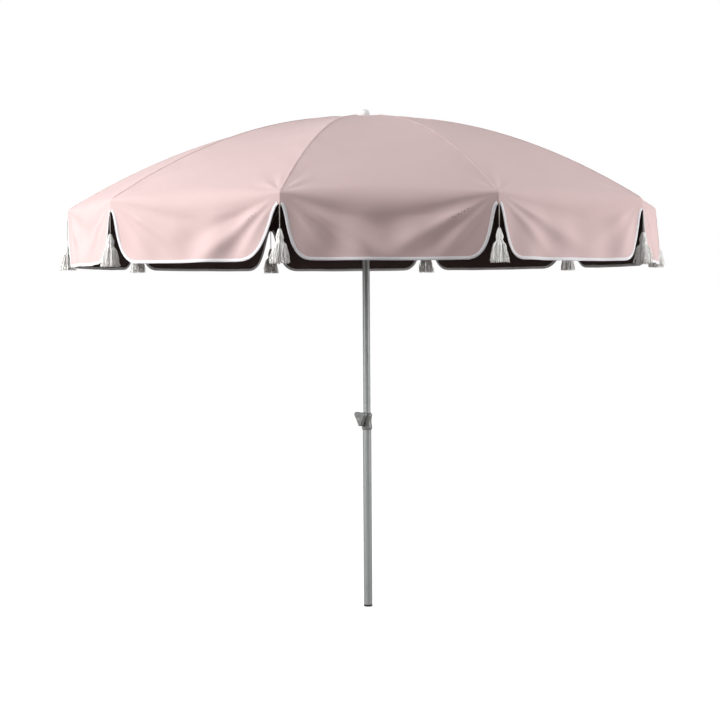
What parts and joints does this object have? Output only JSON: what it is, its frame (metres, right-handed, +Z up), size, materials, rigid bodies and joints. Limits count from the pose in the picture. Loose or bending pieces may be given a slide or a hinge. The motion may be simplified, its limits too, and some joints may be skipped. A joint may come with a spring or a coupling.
{
  "type": "garden parasol",
  "caption": "Round garden parasol with a woven canopy, hanging bound flaps and cotton tassels, folding ribs and stretchers, and a telescoping pole with a screw clamp.",
  "frame": {"origin": "middle of the flat foot at the bottom of the pole", "axes": "+Z up along the pole, +X over one rib, so the next ribs stand every 36 degrees from it"},
  "size_m": [2.6714, 2.547, 2.2031],
  "materials": {
    "pole_metal": "satin",
    "steel": "satin",
    "rib_steel": "satin",
    "grey_plastic": "matte",
    "white_plastic": "satin",
    "canopy_fabric": "matte",
    "white_binding": "matte",
    "tassel_cotton": "matte"
  },
  "bodies": {
    "lower_pole": {"lower_pole": "pole_metal", "foot_plug": "grey_plastic", "clamp_collar": "grey_plastic", "clamp_insert": "steel"},
    "clamp_pad": {"clamp_pad": "white_plastic"},
    "clamp_knob": {"clamp_knob": "grey_plastic", "clamp_screw": "steel"},
    "pole_slider": {"guide_bush": "grey_plastic"},
    "upper_pole": {"upper_pole": "pole_metal", "hub": "grey_plastic", "hub_ring_wire": "steel", "finial": "white_plastic", "runner_stop_pin": "steel", "canopy": "canopy_fabric"},
    "runner": {"runner": "grey_plastic", "runner_ring_wire": "steel"},
    "rib_01": {"rib_01": "rib_steel"},
    "stretcher_01": {"stretcher_01": "rib_steel"},
    "hem_01": {"tassel_cord_01": "tassel_cotton", "tassel_01": "tassel_cotton"},
    "rib_02": {"rib_02": "rib_steel"},
    "stretcher_02": {"stretcher_02": "rib_steel"},
    "hem_02": {"tassel_cord_02": "tassel_cotton", "tassel_02": "tassel_cotton"},
    "rib_03": {"rib_03": "rib_steel"},
    "stretcher_03": {"stretcher_03": "rib_steel"},
    "hem_03": {"tassel_cord_03": "tassel_cotton", "tassel_03": "tassel_cotton"},
    "rib_04": {"rib_04": "rib_steel"},
    "stretcher_04": {"stretcher_04": "rib_steel"},
    "hem_04": {"tassel_cord_04": "tassel_cotton", "tassel_04": "tassel_cotton"},
    "rib_05": {"rib_05": "rib_steel"},
    "stretcher_05": {"stretcher_05": "rib_steel"},
    "hem_05": {"tassel_cord_05": "tassel_cotton", "tassel_05": "tassel_cotton"},
    "rib_06": {"rib_06": "rib_steel"},
    "stretcher_06": {"stretcher_06": "rib_steel"},
    "hem_06": {"tassel_cord_06": "tassel_cotton", "tassel_06": "tassel_cotton"},
    "rib_07": {"rib_07": "rib_steel"},
    "stretcher_07": {"stretcher_07": "rib_steel"},
    "hem_07": {"tassel_cord_07": "tassel_cotton", "tassel_07": "tassel_cotton"},
    "rib_08": {"rib_08": "rib_steel"},
    "stretcher_08": {"stretcher_08": "rib_steel"},
    "hem_08": {"tassel_cord_08": "tassel_cotton", "tassel_08": "tassel_cotton"},
    "rib_09": {"rib_09": "rib_steel"},
    "stretcher_09": {"stretcher_09": "rib_steel"},
    "hem_09": {"tassel_cord_09": "tassel_cotton", "tassel_09": "tassel_cotton"},
    "rib_10": {"rib_10": "rib_steel"},
    "stretcher_10": {"stretcher_10": "rib_steel"},
    "hem_10": {"tassel_cord_10": "tassel_cotton", "tassel_10": "tassel_cotton"}
  },
  "joints": [
    {"name": "pole_slide", "type": "slide", "parent": "lower_pole", "child": "pole_slider", "axis": [0, 0, 1], "range_m": [-0.2, 0.15]},
    {"name": "pole_turn", "type": "hinge", "parent": "pole_slider", "child": "upper_pole", "pos_m": [0, 0, 0.6], "axis": [0, 0, 1], "continuous": true},
    {"name": "runner_slide", "type": "slide", "parent": "upper_pole", "child": "runner", "axis": [0, 0, -1], "range_m": [0, 0.61335], "deforming": ["canopy"]},
    {"name": "pad_travel", "type": "slide", "parent": "lower_pole", "child": "clamp_pad", "axis": [-0.788, -0.6157, 0], "range_m": [0, 0.0025]},
    {"name": "knob_turn", "type": "hinge", "parent": "clamp_pad", "child": "clamp_knob", "pos_m": [-0.02364, -0.01847, 0.844], "axis": [-0.788, -0.6157, 0], "range_deg": [0, 720]},
    {"name": "rib_01_fold", "type": "hinge", "parent": "upper_pole", "child": "rib_01", "pos_m": [0.034, 0, 2.15723], "axis": [0, 1, 0], "range_deg": [0, 69.51]},
    {"name": "stretcher_01_fold", "type": "hinge", "parent": "runner", "child": "stretcher_01", "pos_m": [0.036, 0, 1.78723], "axis": [0, 1, 0], "range_deg": [-45.34, 0]},
    {"name": "hem_01_hang", "type": "hinge", "parent": "rib_01", "child": "hem_01", "pos_m": [1.3, 0, 1.764], "axis": [0, 1, 0], "range_deg": [-69.51, 0]},
    {"name": "rib_02_fold", "type": "hinge", "parent": "upper_pole", "child": "rib_02", "pos_m": [0.02751, 0.01998, 2.15723], "axis": [-0.5878, 0.809, 0], "range_deg": [0, 69.51]},
    {"name": "stretcher_02_fold", "type": "hinge", "parent": "runner", "child": "stretcher_02", "pos_m": [0.02913, 0.02116, 1.78723], "axis": [-0.5878, 0.809, 0], "range_deg": [-45.34, 0]},
    {"name": "hem_02_hang", "type": "hinge", "parent": "rib_02", "child": "hem_02", "pos_m": [1.05172, 0.76412, 1.764], "axis": [-0.5878, 0.809, 0], "range_deg": [-69.51, 0]},
    {"name": "rib_03_fold", "type": "hinge", "parent": "upper_pole", "child": "rib_03", "pos_m": [0.01051, 0.03234, 2.15723], "axis": [-0.9511, 0.309, 0], "range_deg": [0, 69.51]},
    {"name": "stretcher_03_fold", "type": "hinge", "parent": "runner", "child": "stretcher_03", "pos_m": [0.01112, 0.03424, 1.78723], "axis": [-0.9511, 0.309, 0], "range_deg": [-45.34, 0]},
    {"name": "hem_03_hang", "type": "hinge", "parent": "rib_03", "child": "hem_03", "pos_m": [0.40172, 1.23637, 1.764], "axis": [-0.9511, 0.309, 0], "range_deg": [-69.51, 0]},
    {"name": "rib_04_fold", "type": "hinge", "parent": "upper_pole", "child": "rib_04", "pos_m": [-0.01051, 0.03234, 2.15723], "axis": [-0.9511, -0.309, 0], "range_deg": [0, 69.51]},
    {"name": "stretcher_04_fold", "type": "hinge", "parent": "runner", "child": "stretcher_04", "pos_m": [-0.01112, 0.03424, 1.78723], "axis": [-0.9511, -0.309, 0], "range_deg": [-45.34, 0]},
    {"name": "hem_04_hang", "type": "hinge", "parent": "rib_04", "child": "hem_04", "pos_m": [-0.40172, 1.23637, 1.764], "axis": [-0.9511, -0.309, 0], "range_deg": [-69.51, 0]},
    {"name": "rib_05_fold", "type": "hinge", "parent": "upper_pole", "child": "rib_05", "pos_m": [-0.02751, 0.01998, 2.15723], "axis": [-0.5878, -0.809, 0], "range_deg": [0, 69.51]},
    {"name": "stretcher_05_fold", "type": "hinge", "parent": "runner", "child": "stretcher_05", "pos_m": [-0.02913, 0.02116, 1.78723], "axis": [-0.5878, -0.809, 0], "range_deg": [-45.34, 0]},
    {"name": "hem_05_hang", "type": "hinge", "parent": "rib_05", "child": "hem_05", "pos_m": [-1.05172, 0.76412, 1.764], "axis": [-0.5878, -0.809, 0], "range_deg": [-69.51, 0]},
    {"name": "rib_06_fold", "type": "hinge", "parent": "upper_pole", "child": "rib_06", "pos_m": [-0.034, 0, 2.15723], "axis": [0, -1, 0], "range_deg": [0, 69.51]},
    {"name": "stretcher_06_fold", "type": "hinge", "parent": "runner", "child": "stretcher_06", "pos_m": [-0.036, 0, 1.78723], "axis": [0, -1, 0], "range_deg": [-45.34, 0]},
    {"name": "hem_06_hang", "type": "hinge", "parent": "rib_06", "child": "hem_06", "pos_m": [-1.3, 0, 1.764], "axis": [0, -1, 0], "range_deg": [-69.51, 0]},
    {"name": "rib_07_fold", "type": "hinge", "parent": "upper_pole", "child": "rib_07", "pos_m": [-0.02751, -0.01998, 2.15723], "axis": [0.5878, -0.809, 0], "range_deg": [0, 69.51]},
    {"name": "stretcher_07_fold", "type": "hinge", "parent": "runner", "child": "stretcher_07", "pos_m": [-0.02913, -0.02116, 1.78723], "axis": [0.5878, -0.809, 0], "range_deg": [-45.34, 0]},
    {"name": "hem_07_hang", "type": "hinge", "parent": "rib_07", "child": "hem_07", "pos_m": [-1.05172, -0.76412, 1.764], "axis": [0.5878, -0.809, 0], "range_deg": [-69.51, 0]},
    {"name": "rib_08_fold", "type": "hinge", "parent": "upper_pole", "child": "rib_08", "pos_m": [-0.01051, -0.03234, 2.15723], "axis": [0.9511, -0.309, 0], "range_deg": [0, 69.51]},
    {"name": "stretcher_08_fold", "type": "hinge", "parent": "runner", "child": "stretcher_08", "pos_m": [-0.01112, -0.03424, 1.78723], "axis": [0.9511, -0.309, 0], "range_deg": [-45.34, 0]},
    {"name": "hem_08_hang", "type": "hinge", "parent": "rib_08", "child": "hem_08", "pos_m": [-0.40172, -1.23637, 1.764], "axis": [0.9511, -0.309, 0], "range_deg": [-69.51, 0]},
    {"name": "rib_09_fold", "type": "hinge", "parent": "upper_pole", "child": "rib_09", "pos_m": [0.01051, -0.03234, 2.15723], "axis": [0.9511, 0.309, 0], "range_deg": [0, 69.51]},
    {"name": "stretcher_09_fold", "type": "hinge", "parent": "runner", "child": "stretcher_09", "pos_m": [0.01112, -0.03424, 1.78723], "axis": [0.9511, 0.309, 0], "range_deg": [-45.34, 0]},
    {"name": "hem_09_hang", "type": "hinge", "parent": "rib_09", "child": "hem_09", "pos_m": [0.40172, -1.23637, 1.764], "axis": [0.9511, 0.309, 0], "range_deg": [-69.51, 0]},
    {"name": "rib_10_fold", "type": "hinge", "parent": "upper_pole", "child": "rib_10", "pos_m": [0.02751, -0.01998, 2.15723], "axis": [0.5878, 0.809, 0], "range_deg": [0, 69.51]},
    {"name": "stretcher_10_fold", "type": "hinge", "parent": "runner", "child": "stretcher_10", "pos_m": [0.02913, -0.02116, 1.78723], "axis": [0.5878, 0.809, 0], "range_deg": [-45.34, 0]},
    {"name": "hem_10_hang", "type": "hinge", "parent": "rib_10", "child": "hem_10", "pos_m": [1.05172, -0.76412, 1.764], "axis": [0.5878, 0.809, 0], "range_deg": [-69.51, 0]}
  ],
  "couplings": [
    {"joint": "pad_travel", "follows": "knob_turn", "m_per_rad": 0.00019894},
    {"joint": "rib_01_fold", "follows": "runner_slide", "rad_per_m": 1.9765},
    {"joint": "stretcher_01_fold", "follows": "runner_slide", "rad_per_m": -1.2886},
    {"joint": "hem_01_hang", "follows": "runner_slide", "rad_per_m": -1.9765},
    {"joint": "rib_02_fold", "follows": "runner_slide", "rad_per_m": 1.9765},
    {"joint": "stretcher_02_fold", "follows": "runner_slide", "rad_per_m": -1.2886},
    {"joint": "hem_02_hang", "follows": "runner_slide", "rad_per_m": -1.9765},
    {"joint": "rib_03_fold", "follows": "runner_slide", "rad_per_m": 1.9765},
    {"joint": "stretcher_03_fold", "follows": "runner_slide", "rad_per_m": -1.2886},
    {"joint": "hem_03_hang", "follows": "runner_slide", "rad_per_m": -1.9765},
    {"joint": "rib_04_fold", "follows": "runner_slide", "rad_per_m": 1.9765},
    {"joint": "stretcher_04_fold", "follows": "runner_slide", "rad_per_m": -1.2886},
    {"joint": "hem_04_hang", "follows": "runner_slide", "rad_per_m": -1.9765},
    {"joint": "rib_05_fold", "follows": "runner_slide", "rad_per_m": 1.9765},
    {"joint": "stretcher_05_fold", "follows": "runner_slide", "rad_per_m": -1.2886},
    {"joint": "hem_05_hang", "follows": "runner_slide", "rad_per_m": -1.9765},
    {"joint": "rib_06_fold", "follows": "runner_slide", "rad_per_m": 1.9765},
    {"joint": "stretcher_06_fold", "follows": "runner_slide", "rad_per_m": -1.2886},
    {"joint": "hem_06_hang", "follows": "runner_slide", "rad_per_m": -1.9765},
    {"joint": "rib_07_fold", "follows": "runner_slide", "rad_per_m": 1.9765},
    {"joint": "stretcher_07_fold", "follows": "runner_slide", "rad_per_m": -1.2886},
    {"joint": "hem_07_hang", "follows": "runner_slide", "rad_per_m": -1.9765},
    {"joint": "rib_08_fold", "follows": "runner_slide", "rad_per_m": 1.9765},
    {"joint": "stretcher_08_fold", "follows": "runner_slide", "rad_per_m": -1.2886},
    {"joint": "hem_08_hang", "follows": "runner_slide", "rad_per_m": -1.9765},
    {"joint": "rib_09_fold", "follows": "runner_slide", "rad_per_m": 1.9765},
    {"joint": "stretcher_09_fold", "follows": "runner_slide", "rad_per_m": -1.2886},
    {"joint": "hem_09_hang", "follows": "runner_slide", "rad_per_m": -1.9765},
    {"joint": "rib_10_fold", "follows": "runner_slide", "rad_per_m": 1.9765},
    {"joint": "stretcher_10_fold", "follows": "runner_slide", "rad_per_m": -1.2886},
    {"joint": "hem_10_hang", "follows": "runner_slide", "rad_per_m": -1.9765}
  ]
}
